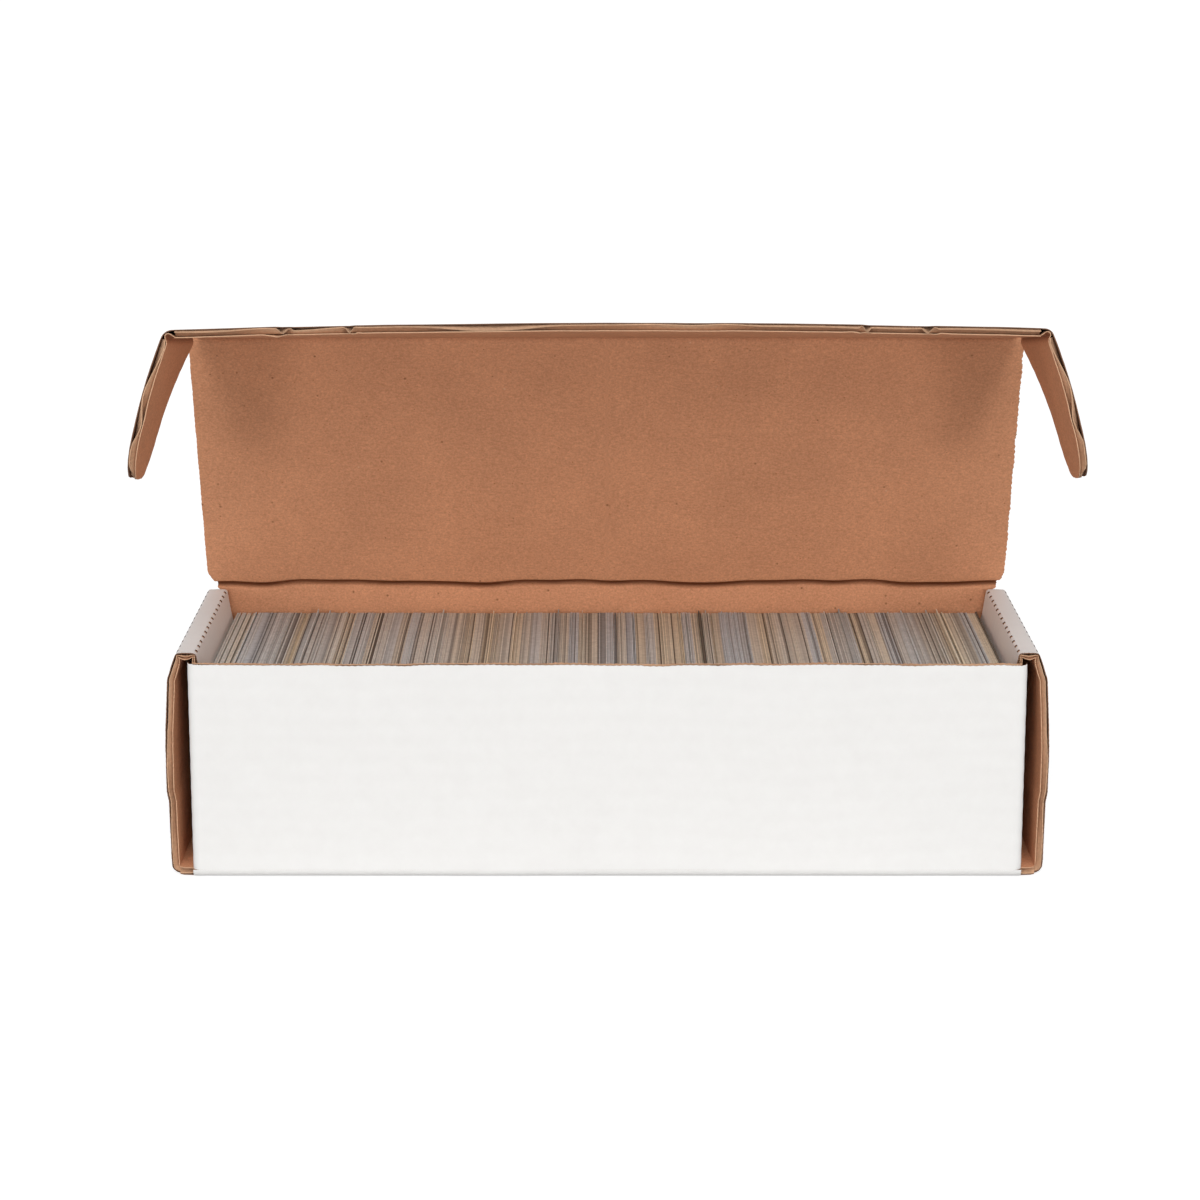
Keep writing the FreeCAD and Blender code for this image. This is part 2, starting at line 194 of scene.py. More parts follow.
class StageSettings(bpy.types.PropertyGroup):
    camera: bpy.props.FloatVectorProperty(
        name="Camera", description="Camera place", default=(-0.0024, -1.054, 0.3356), subtype="TRANSLATION",
        unit="LENGTH", precision=4,
    )
    tilt: angle("Tilt", "Camera turn from straight down", 76.48)
    lens: plain_number("Lens", "Focal length in millimetres", 95.73)
    side_light: plain_number("Side lights", "Strength of each soft light from the side", 0.06)
    side_turn: angle("Side turn", "Turn of the side lights from the camera's line", 70)
    front_turn: angle("Front turn", "Turn of the front lights from the camera's line", 22)
    side_rise: angle("Side rise", "Height of the soft lights over the floor", 5)
    softness: angle("Softness", "Width of the soft lights as the object sees them", 11)
    front_light: plain_number("Front lights", "Strength of each soft light beside the camera", 0.44)
    top_light: plain_number("Top light", "Strength of the soft light from above the camera", 1.55)
    top_rise: angle("Top rise", "Height of the top light over the floor", 45)
    top_softness: angle("Top softness", "Width of the top light as the object sees it", 50)
    sky: plain_number("Sky", "Strength of the even light", 0.38)
    floor_lift: plain_number("Floor lift", "Brightness that the camera sees over the floor's own", 0.6)


class CardBoxSettings(bpy.types.PropertyGroup):
    board: bpy.props.PointerProperty(type=BoardSettings)
    perforation: bpy.props.PointerProperty(type=PerforationSettings)
    cards: bpy.props.PointerProperty(type=CardSettings)
    finish: bpy.props.PointerProperty(type=FinishSettings)
    stage: bpy.props.PointerProperty(type=StageSettings)


def settings():
    return bpy.context.scene.card_box


def add_node(tree, kind, links=None, **values):
    """Adds a node, sets its properties, and sets or links its inputs; a node stands for its first output."""
    node = tree.nodes.new(kind)
    for name, value in values.items():
        setattr(node, name, value)
    for socket, source in (links or {}).items():
        for one in source if isinstance(source, list) else [source]:
            one = one.outputs[0] if isinstance(one, bpy.types.Node) else one
            if isinstance(one, bpy.types.NodeSocket):
                tree.links.new(one, node.inputs[socket])
            else:
                node.inputs[socket].default_value = one
    return node


def wander(values, wavelength, seed):
    """Smooth unevenness between about -1 and 1, the same on every run."""
    draw = np.random.default_rng(seed)
    total = np.zeros(np.shape(values))
    for octave in range(1, 5):
        length = wavelength * draw.uniform(0.7, 1.3) / octave
        total += np.sin(2 * np.pi * np.asarray(values) / length + draw.uniform(0, 6.28)) / octave
    return total / 1.6


def stations(length, step, fine_at=(), fine=0.5, reach=3.0):
    """Places along a length, closer together near the places that need it."""
    places = np.linspace(0, length, 4001)
    density = np.full(places.shape, 1 / step)
    for spot in fine_at:
        density[np.abs(places - spot) < reach] = 1 / fine
    total = np.concatenate(([0], np.cumsum((density[1:] + density[:-1]) / 2 * np.diff(places))))
    return np.interp(np.linspace(0, total[-1], max(3, math.ceil(total[-1]) + 1)), total, places)


class Fold:
    """A stretch of board that follows a line with rounded bends, kraft face to the line's left."""

    def __init__(self, corners, radii, origin, axes, flutes_along_line):
        self.origin, self.axes = np.array(origin, float), np.array(axes, float)
        self.flutes_along_line = flutes_along_line
        self.creases, self.drift, self.skew, self.phase = [], 1.6, 0.0, 0.0
        self.low = self.high = self.swell = self.trim = self.shift = self.curl = None
        self.trace(np.array(corners, float), radii)

    def trace(self, corners, radii, steps=9):
        """Lays points along the line, with an arc at every bend."""
        ways = np.diff(corners, axis=0)
        ways /= np.linalg.norm(ways, axis=1)[:, None]
        points, facing, middles = [corners[0]], [(-ways[0][1], ways[0][0])], []
        for corner, come, go, radius in zip(corners[1:-1], ways, ways[1:], radii):
            turn = math.atan2(come[0] * go[1] - come[1] * go[0], come @ go)
            inward = np.array((-come[1], come[0])) * math.copysign(1, turn)
            centre = corner - come * radius * math.tan(abs(turn) / 2) + inward * radius
            for angle in np.linspace(0, turn, steps):
                spin = np.array(((math.cos(angle), -math.sin(angle)), (math.sin(angle), math.cos(angle))))
                points.append(centre - spin @ inward * radius)
                way = spin @ come
                facing.append((-way[1], way[0]))
            middles.append(len(points) - 1 - steps // 2)
        points.append(corners[-1])
        facing.append((-ways[-1][1], ways[-1][0]))
        self.points, self.facing = np.array(points), np.array(facing)
        gaps = np.linalg.norm(np.diff(self.points, axis=0), axis=1)
        self.reach = np.concatenate(([0], np.cumsum(gaps)))
        self.bends = [self.reach[k] for k in middles]
        self.length = self.reach[-1]

    def crease(self, place, kraft_depth, white_depth, width, drift=0.0, seed=1):
        """Presses a valley across the line into both faces; a depth below zero is a ridge."""
        self.creases.append((place, kraft_depth, white_depth, width, drift, seed))

    def at(self, table, run):
        """Values of a table of the line's points, at distances along it."""
        return np.stack([np.interp(run, self.reach, table[:, k]) for k in (0, 1)], -1)

    def layers(self, run, share):
        """Middle points, kraft-side normals, distances to both faces, distance across the flutes and curl."""
        low, high = self.low(run)[:, None], self.high(run)[:, None]
        side = low + share[None, :] * (high - low)
        run = np.broadcast_to(run[:, None], side.shape).copy()
        if self.trim:
            run = self.trim(run, side)
        place, facing = self.at(self.points, run), self.at(self.facing, run)
        facing /= np.linalg.norm(facing, axis=-1)[..., None]
        normal = facing @ self.axes[:2]
        point = self.origin + place @ self.axes[:2] + side[..., None] * self.axes[2]
        if self.swell:
            point = point + normal * self.swell(run, side)[..., None]
        if self.shift:
            point = point + self.shift(run, side)
        kraft, white = np.full(side.shape, BOARD / 2), np.full(side.shape, BOARD / 2)
        for spot, kraft_depth, white_depth, width, drift, seed in self.creases:
            dip = np.exp(-(((run - spot - drift * wander(side, 70, seed)) / width) ** 2))
            kraft = kraft - kraft_depth * dip
            white = white - white_depth * dip
        curl = self.curl(run, side) if self.curl else np.zeros(side.shape)
        across, along = (side, run) if self.flutes_along_line else (run, side)
        across = across + self.drift * wander(along, *DRIFT) + self.skew * along + self.phase
        return point, normal, kraft, white, across, curl


def roughen(layers, raw, seed):
    """Gives the raw edges of a sheet the small uneven teeth that a serrated cutting rule leaves."""
    draw = np.random.default_rng(seed)
    edges = {"start": (0, 1, 0), "end": (-1, -2, 0), "low": (0, 1, 1), "high": (-1, -2, 1)}
    for edge, amount in raw.items():
        row, beside, axis = edges[edge]
        first = np.moveaxis(layers[0], axis, 0)
        way = first[row] - first[beside]
        way /= np.maximum(np.linalg.norm(way, axis=-1), 1e-9)[:, None]
        count = len(way)
        teeth = np.where(np.arange(count) % 2, 1, -1) * draw.uniform(0.2, 1, count)
        uneven = 0.6 * teeth + 0.5 * wander(np.arange(count), 23, seed + 3)
        for sheet in layers:
            view = np.moveaxis(sheet, axis, 0)
            view[row] += way * (amount * uneven)[:, None]


def grid(points):
    """Numbers of a grid's points, and its four-cornered faces."""
    number = np.arange(points[..., 0].size).reshape(points.shape[:2])
    faces = np.stack((number[:-1, :-1], number[1:, :-1], number[1:, 1:], number[:-1, 1:]), -1).reshape(-1, 4)
    return number, faces


def slab(name, outer, inner):
    """A closed thin mesh between two grids of points in millimetres; its outer face has material 0."""
    number, top = grid(outer)
    under = number.size
    ring = np.concatenate((number[:-1, 0], number[-1, :-1], number[:0:-1, -1], number[0, :0:-1]))
    after = np.roll(ring, -1)
    rim = np.stack((ring, ring + under, after + under, after), -1)
    faces = np.concatenate((top, top[:, ::-1] + under, rim))
    points = np.concatenate((outer.reshape(-1, 3), inner.reshape(-1, 3))) * MM
    mesh = bpy.data.meshes.new(name)
    mesh.from_pydata(points.tolist(), [], faces.tolist())
    mesh.polygons.foreach_set("material_index", [0] * len(top) + [1] * (len(faces) - len(top)))
    return mesh


def settle(mesh, materials):
    """Turns every face outward, smooths all but the cut edges and gives the mesh its materials."""
    shape = bmesh.new()
    shape.from_mesh(mesh)
    bmesh.ops.recalc_face_normals(shape, faces=shape.faces)
    shape.to_mesh(mesh)
    shape.free()
    mesh.shade_smooth()
    mesh.set_sharp_from_angle(angle=SHARP)
    for material in materials:
        mesh.materials.append(material)


def put(name, data):
    """Puts an object in the scene."""
    item = bpy.data.objects.new(name, data)
    bpy.context.scene.collection.objects.link(item)
    return item


def add_piece(name, mesh, nodes, body=None, joined=None):
    """Puts a finished mesh in the scene, hangs it under its CAD body or, when joined, keeps it where it stands,
    and hides the CAD nodes it stands for.
    """
    piece = put(name, mesh)
    if joined:
        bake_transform(piece)
    else:
        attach(piece, body)
    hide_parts(*nodes)


def bake_nodes(base, trees):
    """Runs node trees over a base mesh and returns the plain mesh they give."""
    holder = put(base.name + ".base", base)
    for tree, values in trees:
        modifier = holder.modifiers.new(tree.name, "NODES")
        modifier.node_group = tree
        for item in tree.interface.items_tree:
            if item.item_type == "SOCKET" and item.in_out == "INPUT" and item.name in values:
                modifier[item.identifier] = values[item.name]
    evaluated = holder.evaluated_get(bpy.context.evaluated_depsgraph_get())
    mesh = bpy.data.meshes.new_from_object(evaluated)
    name = base.name
    bpy.data.objects.remove(holder)
    bpy.data.meshes.remove(base)
    mesh.name = name
    return mesh


def new_tree(name, sockets):
    """A geometry node tree with a geometry in and out and the named inputs; returns it and its input node."""
    tree = bpy.data.node_groups.new(name, "GeometryNodeTree")
    tree.interface.new_socket("Geometry", in_out="INPUT", socket_type="NodeSocketGeometry")
    for label, kind in sockets.items():
        tree.interface.new_socket(label, in_out="INPUT", socket_type=f"NodeSocket{kind}")
    tree.interface.new_socket("Geometry", in_out="OUTPUT", socket_type="NodeSocketGeometry")
    return tree, add_node(tree, "NodeGroupInput").outputs


def end_tree(tree, geometry, material, **only):
    """Ends a node tree: real geometry, its material and the output."""
    plain = add_node(tree, "GeometryNodeRealizeInstances", {"Geometry": geometry})
    painted = add_node(tree, "GeometryNodeSetMaterial", {"Geometry": plain, "Material": material, **only})
    add_node(tree, "NodeGroupOutput", {"Geometry": painted})
    return tree


def flute_tree():
    """Waves a flat sheet into flutes and gives it the paper's thickness."""
    if "Flutes" in bpy.data.node_groups:
        return bpy.data.node_groups["Flutes"]
    tree, given = new_tree("Flutes", {"Pitch": "Float", "Paper": "Float", "Material": "Material"})
    across = add_node(tree, "GeometryNodeInputNamedAttribute", {"Name": "across"})
    lift = add_node(tree, "GeometryNodeInputNamedAttribute", {"Name": "lift"}, data_type="FLOAT_VECTOR")
    waves = add_node(tree, MATH, {0: across, 1: given["Pitch"]}, operation="DIVIDE")
    turns = add_node(tree, MATH, {0: waves, 1: 2 * math.pi}, operation="MULTIPLY")
    height = add_node(tree, MATH, {0: turns}, operation="SINE")
    offset = add_node(tree, "ShaderNodeVectorMath", {0: lift, "Scale": height}, operation="SCALE")
    waved = add_node(tree, "GeometryNodeSetPosition", {"Geometry": given["Geometry"], "Offset": offset})
    half = add_node(tree, MATH, {0: given["Paper"], 1: -0.5}, operation="MULTIPLY")
    normal = add_node(tree, "GeometryNodeInputNormal")
    back = add_node(tree, "ShaderNodeVectorMath", {0: normal, "Scale": half}, operation="SCALE")
    lower = add_node(tree, "GeometryNodeSetPosition", {"Geometry": waved, "Offset": back})
    upper = add_node(
        tree, "GeometryNodeExtrudeMesh", {"Mesh": lower, "Offset Scale": given["Paper"], "Individual": False}
    )
    under = add_node(tree, "GeometryNodeFlipFaces", {"Mesh": lower})
    both = add_node(tree, "GeometryNodeJoinGeometry", {"Geometry": [upper, under]})
    closed = add_node(tree, "GeometryNodeMergeByDistance", {"Geometry": both, "Distance": 0.002 * MM})
    return end_tree(tree, closed, given["Material"])


def slit_tree():
    """Cuts one line of perforation slits into a skin."""
    if "Slits" in bpy.data.node_groups:
        return bpy.data.node_groups["Slits"]
    sockets = {
        "Count": "Int", "Pitch": "Float", "Place": "Vector", "Turn": "Vector", "Slit": "Vector",
        "Material": "Material",
    }
    tree, given = new_tree("Slits", sockets)
    step = add_node(tree, "ShaderNodeCombineXYZ", {"Y": given["Pitch"]})
    line = add_node(
        tree, "GeometryNodeMeshLine",
        {"Count": given["Count"], "Start Location": given["Place"], "Offset": step},
    )
    cutter = add_node(tree, "GeometryNodeMeshCube", {"Size": given["Slit"]})
    turn = add_node(tree, "FunctionNodeEulerToRotation", {0: given["Turn"]})
    row = add_node(tree, "GeometryNodeInstanceOnPoints", {"Points": line, "Instance": cutter, "Rotation": turn})
    cutters = add_node(tree, "GeometryNodeRealizeInstances", {"Geometry": row})
    marked = add_node(
        tree, "GeometryNodeStoreNamedAttribute",
        {"Geometry": cutters, "Name": "slit", "Value": True}, data_type="BOOLEAN", domain="FACE",
    )
    cut = add_node(
        tree, "GeometryNodeMeshBoolean",
        {"Mesh 1": given["Geometry"], "Mesh 2": marked}, operation="DIFFERENCE", solver="EXACT",
    )
    # the cut faces take the given material, which paints the shade inside the slits
    inside = add_node(tree, "GeometryNodeInputNamedAttribute", {"Name": "slit"}, data_type="BOOLEAN")
    return end_tree(tree, cut, given["Material"], Selection=inside)


def card_tree():
    """Stands a row of thin, slightly bent cards side by side and gives each its shade."""
    sockets = {
        "Count": "Int", "Start": "Vector", "Step": "Float", "Card": "Vector", "Scatter": "Float",
        "Bend": "Float", "Packet": "Int", "Seed": "Int", "Material": "Material",
    }
    tree, given = new_tree("Card row", sockets)
    step = add_node(tree, "ShaderNodeCombineXYZ", {"X": given["Step"]})
    line = add_node(
        tree, "GeometryNodeMeshLine",
        {"Count": given["Count"], "Start Location": given["Start"], "Offset": step},
    )
    card = add_node(
        tree, "GeometryNodeMeshCube", {"Size": given["Card"], "Vertices X": 2, "Vertices Y": 9, "Vertices Z": 2}
    )
    chance = add_node(tree, RANDOM, {2: 0.0, 3: 1.0, "Seed": given["Seed"]})
    thin = add_node(tree, MATH, {0: chance.outputs[1], 1: 5.0}, operation="POWER")
    thick = add_node(tree, MATH, {0: thin, 1: -0.8, 2: 1.0}, operation="MULTIPLY_ADD")
    index = add_node(tree, "GeometryNodeInputIndex")
    every, loose_cards = 4.0, 18.0
    turn = add_node(tree, MATH, {0: index, 1: every}, operation="MODULO")
    chosen = add_node(tree, MATH, {0: turn, 1: every - 1.5}, operation="GREATER_THAN")
    loose = add_node(tree, MATH, {0: index, 1: loose_cards}, operation="LESS_THAN")
    short = add_node(tree, MATH, {0: chosen, 1: loose}, operation="MULTIPLY")
    short_by = SHORT_CARD / (CARD_HIGH - CARD_LOW)[2]
    tall = add_node(tree, MATH, {0: short, 1: -short_by, 2: 1.0}, operation="MULTIPLY_ADD")
    girth = add_node(tree, "ShaderNodeCombineXYZ", {"X": thick, "Y": 1.0, "Z": tall})
    row = add_node(tree, "GeometryNodeInstanceOnPoints", {"Points": line, "Instance": card, "Scale": girth})
    share = add_node(tree, MATH, {0: index, 1: given["Packet"]}, operation="DIVIDE")
    packet = add_node(tree, MATH, {0: share}, operation="FLOOR")
    drop = add_node(tree, MATH, {0: given["Scatter"], 1: -1.0}, operation="MULTIPLY")
    small = add_node(tree, MATH, {0: given["Scatter"], 1: -0.25}, operation="MULTIPLY")
    height = add_node(tree, RANDOM, {2: small, 3: 0.0, "Seed": given["Seed"]})
    other = add_node(tree, MATH, {0: given["Seed"], 1: 7.0}, operation="ADD")
    odd = add_node(tree, RANDOM, {2: 0.0, 3: 1.0, "Seed": other})
    rare = add_node(tree, MATH, {0: odd.outputs[1], 1: 40.0}, operation="POWER")
    lift = add_node(tree, MATH, {0: rare, 1: 1.5 * MM, 2: height.outputs[1]}, operation="MULTIPLY_ADD")
    lift = add_node(tree, MATH, {0: short, 1: -SHORT_CARD / 2 * MM, 2: lift}, operation="MULTIPLY_ADD")
    slide = add_node(tree, RANDOM, {2: drop, 3: given["Scatter"], "ID": packet, "Seed": given["Seed"]})
    shift = add_node(tree, "ShaderNodeCombineXYZ", {"Y": slide.outputs[1], "Z": lift})
    stood = add_node(tree, "GeometryNodeTranslateInstances", {"Instances": row, "Translation": shift})
    common = add_node(tree, RANDOM, {2: 0.0, 3: 1.0, "ID": packet, "Seed": given["Seed"]})
    for name, value in (("shade", chance), ("tint", common)):
        stood = add_node(
            tree, "GeometryNodeStoreNamedAttribute",
            {"Geometry": stood, "Name": name, "Value": value.outputs[1]}, domain="INSTANCE",
        )
    plain = add_node(tree, "GeometryNodeRealizeInstances", {"Geometry": stood})
    place = add_node(tree, "GeometryNodeInputPosition")
    parts = add_node(tree, "ShaderNodeSeparateXYZ", {0: place})
    along = add_node(tree, "ShaderNodeCombineXYZ", {"X": parts.outputs["X"]})
    slow = add_node(tree, NOISE, {"Vector": along, "Scale": 1 / (28 * MM), "Detail": 1.0})
    lean = add_node(tree, MATH, {0: slow, 1: 0.5}, operation="SUBTRACT")
    from_middle = add_node(tree, MATH, {0: parts.outputs["X"]}, operation="ABSOLUTE")
    last, held, half_card = CARD_HIGH[0] * MM, 12 * MM, 44 * MM
    inside = add_node(tree, RANGE, {"Value": from_middle, 1: last, 2: last - held, 3: 0.0, 4: 1.0})
    depth = add_node(tree, MATH, {0: parts.outputs["Y"], 1: 1 / half_card}, operation="MULTIPLY")
    bow = add_node(tree, MATH, {0: depth, 1: depth}, operation="MULTIPLY")
    bow = add_node(tree, MATH, {0: bow, 1: 0.35}, operation="SUBTRACT")
    for factor in (lean, inside, given["Bend"]):
        bow = add_node(tree, MATH, {0: bow, 1: factor}, operation="MULTIPLY")
    sideways = add_node(tree, "ShaderNodeCombineXYZ", {"X": bow})
    bent = add_node(tree, "GeometryNodeSetPosition", {"Geometry": plain, "Offset": sideways})
    return end_tree(tree, bent, given["Material"])


def blank_tree(owner):
    """The emptied node tree of a material or world."""
    owner.use_nodes = True
    owner.node_tree.nodes.clear()
    return owner.node_tree


def new_material(name):
    """A material with only its output and shader, and an Object coordinate to draw on."""
    material = bpy.data.materials.new(name)
    tree = blank_tree(material)
    shader = add_node(tree, "ShaderNodeBsdfPrincipled")
    add_node(tree, "ShaderNodeOutputMaterial", {"Surface": shader})
    place = add_node(tree, "ShaderNodeTexCoord").outputs["Object"]
    return material, tree, shader, place


def paper_flecks(tree, place, spacing, radius, share, offset):
    """Factor that is 1 on small specks: spacing and radius in millimetres, share is how many cells hold one."""
    moved = add_node(tree, "ShaderNodeMapping", {"Vector": place, "Location": (offset, offset, offset)})
    cells = add_node(tree, "ShaderNodeTexVoronoi", {"Vector": moved, "Scale": 1 / (spacing * MM)})
    chosen = add_node(tree, "ShaderNodeSeparateColor", {0: cells.outputs["Color"]})
    picked = add_node(tree, MATH, {0: chosen, 1: share}, operation="LESS_THAN")
    grown = add_node(tree, MATH, {0: chosen.outputs[1], 1: radius / spacing}, operation="MULTIPLY")
    near = add_node(tree, RANGE, {"Value": cells.outputs["Distance"], 1: grown, 2: 0.0, 3: 0.0, 4: 1.0})
    return add_node(tree, MATH, {0: near, 1: picked}, operation="MULTIPLY")


def mixed(tree, factor, first, second, blend="MIX"):
    """Colour between two colours."""
    node = add_node(tree, "ShaderNodeMix", {0: factor, 6: first, 7: second}, data_type="RGBA", blend_type=blend)
    return node.outputs[2]


def finish_paper(tree, shader, body, grain, rough, shine, relief, depth):
    """Gives a paper its colour, its dull shine and the relief of its grain, depth in millimetres."""
    bump = add_node(tree, "ShaderNodeBump", {"Height": grain, "Strength": relief, "Distance": depth * MM})
    tree.links.new(body, shader.inputs["Base Color"])
    tree.links.new(bump.outputs[0], shader.inputs["Normal"])
    shader.inputs["Roughness"].default_value = rough
    shader.inputs["Specular IOR Level"].default_value = shine


def kraft_paper():
    """Unbleached kraft liner: warm brown, cloudy, with fine fibres and bark specks, and creases darkened with
    painted shade.
    """
    if "Kraft paper" in bpy.data.materials:
        return bpy.data.materials["Kraft paper"]
    finish = settings().finish
    material, tree, shader, place = new_material("Kraft paper")
    cloud = add_node(tree, NOISE, {"Vector": place, "Scale": 1 / (26 * MM), "Detail": 3.0, "Roughness": 0.6})
    drawn = add_node(
        tree, "ShaderNodeMapping", {"Vector": place, "Scale": (1 / (1.5 * MM), 1 / (0.7 * MM), 1 / (0.7 * MM))}
    )
    fibre = add_node(tree, NOISE, {"Vector": drawn, "Scale": 1.0, "Detail": 4.0, "Roughness": 0.7})
    grain = add_node(tree, NOISE, {"Vector": place, "Scale": 1 / (0.7 * MM), "Detail": 3.0, "Roughness": 0.7})
    dark = add_node(tree, RANGE, {"Value": fibre, 1: 0.36, 2: 0.74, 3: 0.0, 4: 0.75})
    body = mixed(tree, dark, tuple(finish.kraft), tuple(finish.kraft_dark))
    cloudy = add_node(tree, RANGE, {"Value": cloud, 1: 0.3, 2: 0.7, 3: 0.94, 4: 1.06})
    speckle = add_node(tree, RANGE, {"Value": grain, 1: 0.3, 2: 0.7, 3: 0.84, 4: 1.16})
    both = add_node(tree, MATH, {0: cloudy, 1: speckle}, operation="MULTIPLY")
    level = add_node(tree, "ShaderNodeCombineColor", {k: both for k in range(3)})
    body = mixed(tree, 1.0, body, level, "MULTIPLY")
    # spacing, radius, share and offset of each kind of fleck
    russet, bark, pale = (1.6, 0.4, 0.16, 0.7), (3.0, 0.62, 0.12, 0.0), (3.0, 0.5, 0.07, 0.35)
    for fleck, code in ((russet, "#9A5E3A"), (bark, "#6B4128"), (pale, "#D6AC8C")):
        body = mixed(tree, paper_flecks(tree, place, *fleck), body, linear(code))
    # painted shade: the kraft face is darkened towards #7A4526 as deep as the crease valley is pressed in
    crease = add_node(tree, "ShaderNodeAttribute", attribute_name="pressed_and_shaded").outputs["Fac"]
    body = mixed(tree, crease, body, linear("#7A4526"))
    finish_paper(tree, shader, body, grain, rough=0.86, shine=0.25, relief=0.25, depth=0.12)
    return material


def white_paper():
    """White-top liner: bleached and lightly coated, almost even, with a trace of grey formation."""
    if "White-top liner" in bpy.data.materials:
        return bpy.data.materials["White-top liner"]
    material, tree, shader, place = new_material("White-top liner")
    cloud = add_node(tree, NOISE, {"Vector": place, "Scale": 1 / (6 * MM), "Detail": 4.0, "Roughness": 0.7})
    grain = add_node(tree, NOISE, {"Vector": place, "Scale": 1 / (0.8 * MM), "Detail": 2.0})
    grey = add_node(tree, RANGE, {"Value": cloud, 1: 0.3, 2: 0.8, 3: 0.0, 4: 0.5})
    body = mixed(tree, grey, tuple(settings().finish.white), linear("#E4E2E0"))
    speck = paper_flecks(tree, place, 16.0, 0.5, 0.12, 0.2)
    body = mixed(tree, speck, body, linear("#CFC7BF"))
    finish_paper(tree, shader, body, grain, rough=0.58, shine=0.3, relief=0.12, depth=0.05)
    return material


def brown_paper(name, code, rough):
    """Uncoated brown paper of the flutes and the cut edges: duller than the kraft face, with short fibres."""
    if name in bpy.data.materials:
        return bpy.data.materials[name]
    material, tree, shader, place = new_material(name)
    grain = add_node(tree, NOISE, {"Vector": place, "Scale": 1 / (1.1 * MM), "Detail": 4.0, "Roughness": 0.75})
    shade = add_node(tree, RANGE, {"Value": grain, 1: 0.3, 2: 0.72, 3: 0.0, 4: 1.0})
    darker = (*(0.74 * c for c in code[:3]), 1.0)
    body = mixed(tree, shade, tuple(code), darker)
    finish_paper(tree, shader, body, grain, rough=rough, shine=0.2, relief=0.3, depth=0.1)
    return material


def card_edges():
    """Edges of printed card stock: grey or cream core, each card a little lighter or darker than the next."""
    finish = settings().finish
    material, tree, shader, place = new_material("Card stock")
    own = add_node(tree, "ShaderNodeAttribute", attribute_name="shade")
    packet = add_node(tree, "ShaderNodeAttribute", attribute_name="tint")
    body = mixed(tree, packet.outputs["Fac"], tuple(finish.warm_card), tuple(finish.cool_card))
    ramp = add_node(tree, "ShaderNodeValToRGB", {0: own.outputs["Fac"]})
    ramp.color_ramp.elements[0].color = (0.12, 0.12, 0.12, 1)
    ramp.color_ramp.elements[1].color = (1.5, 1.48, 1.44, 1)
    ramp.color_ramp.elements.new(0.2).color = (0.62, 0.62, 0.62, 1)
    ramp.color_ramp.elements.new(0.6).color = (1.0, 1.0, 1.0, 1)
    body = mixed(tree, 1.0, body, ramp, "MULTIPLY")
    grain = add_node(tree, NOISE, {"Vector": place, "Scale": 1 / (1.6 * MM), "Detail": 3.0})
    worn = add_node(tree, RANGE, {"Value": grain, 1: 0.3, 2: 0.7, 3: 0.86, 4: 1.1})
    level = add_node(tree, "ShaderNodeCombineColor", {k: worn for k in range(3)})
    body = mixed(tree, 1.0, body, level, "MULTIPLY")
    tree.links.new(body, shader.inputs["Base Color"])
    shader.inputs["Roughness"].default_value = 0.6
    return material


def add_board(name, fold, run, share, wave_run, wave_share, nodes, body=None, joined=None, raw=None, cut=()):
    """Makes the white skin, flutes and kraft skin of one folded stretch of board."""
    board, finish = settings().board, settings().finish
    liner, pitch = board.liner / MM, board.pitch / MM
    raw = raw or {}
    papers = {
        # the white skin's back and rim take the edge colour, which is partly painted shade
        "white": (white_paper(), brown_paper("White liner edge", finish.white_edge_and_painted_shade, 0.9)),
        "kraft": (kraft_paper(), brown_paper("Cut paper edge", finish.raw, 0.9)),
    }
    point, normal, kraft, white, across, curl = fold.layers(run, share)
    wash = np.sin(2 * np.pi * across / pitch) * board.washboard / MM
    for side, slot, seed in (("white", WHITE_OUT, 21), ("kraft", KRAFT_IN, 47)):
        far = kraft + wash + curl if side == "kraft" else wash - white
        near = far - liner if side == "kraft" else far + liner
        outer, inner = point + normal * far[..., None], point + normal * near[..., None]
        roughen((outer, inner), raw, seed + len(name))
        mesh = slab(f"{name}_{side}_skin", outer, inner)
        # how deep the kraft face is pressed in, which the kraft paper turns into painted shade in the creases
        pressed_and_shaded = np.tile(np.clip((BOARD / 2 - kraft) / BOARD, 0, 1).ravel(), 2)
        mesh.attributes.new("pressed_and_shaded", "FLOAT", "POINT").data.foreach_set("value", pressed_and_shaded)
        settle(mesh, papers[side])
        if cut and side == "white":
            mesh = bake_nodes(mesh, [(slit_tree(), values) for values in cut])
            mesh.set_sharp_from_angle(angle=SHARP)
        add_piece(mesh.name, mesh, nodes[side], body, joined)
    point, normal, kraft, white, across, _ = fold.layers(wave_run, wave_share)
    point = point + normal * ((kraft - white) / 2)[..., None]
    swing = np.maximum((kraft + white) / 2 - liner - board.medium / MM / 2, 0.02)
    roughen((point,), raw, 83 + len(name))
    mesh = bpy.data.meshes.new(f"{name}_flutes")
    mesh.from_pydata((point.reshape(-1, 3) * MM).tolist(), [], grid(point)[1].tolist())
    mesh.attributes.new("across", "FLOAT", "POINT").data.foreach_set("value", (across * MM).ravel())
    lift = (normal * swing[..., None] * MM).reshape(-1)
    mesh.attributes.new("lift", "FLOAT_VECTOR", "POINT").data.foreach_set("vector", lift)
    fluting = brown_paper("Fluting paper", finish.medium, 0.92)
    values = {"Pitch": board.pitch, "Paper": board.medium, "Material": fluting}
    mesh = bake_nodes(mesh, [(flute_tree(), values)])
    settle(mesh, [])
    add_piece(f"{name}_flutes", mesh, nodes["flutes"], body or joined[1], None)


def layers_of(*panels, white=(), kraft=()):
    """Names of the CAD nodes that the three layers of some panels stand for."""
    return {
        "white": [f"{panel}_white_liner" for panel in panels] + list(white),
        "flutes": [f"{panel}_flutes" for panel in panels],
        "kraft": [f"{panel}_kraft_liner" for panel in panels] + list(kraft),
    }


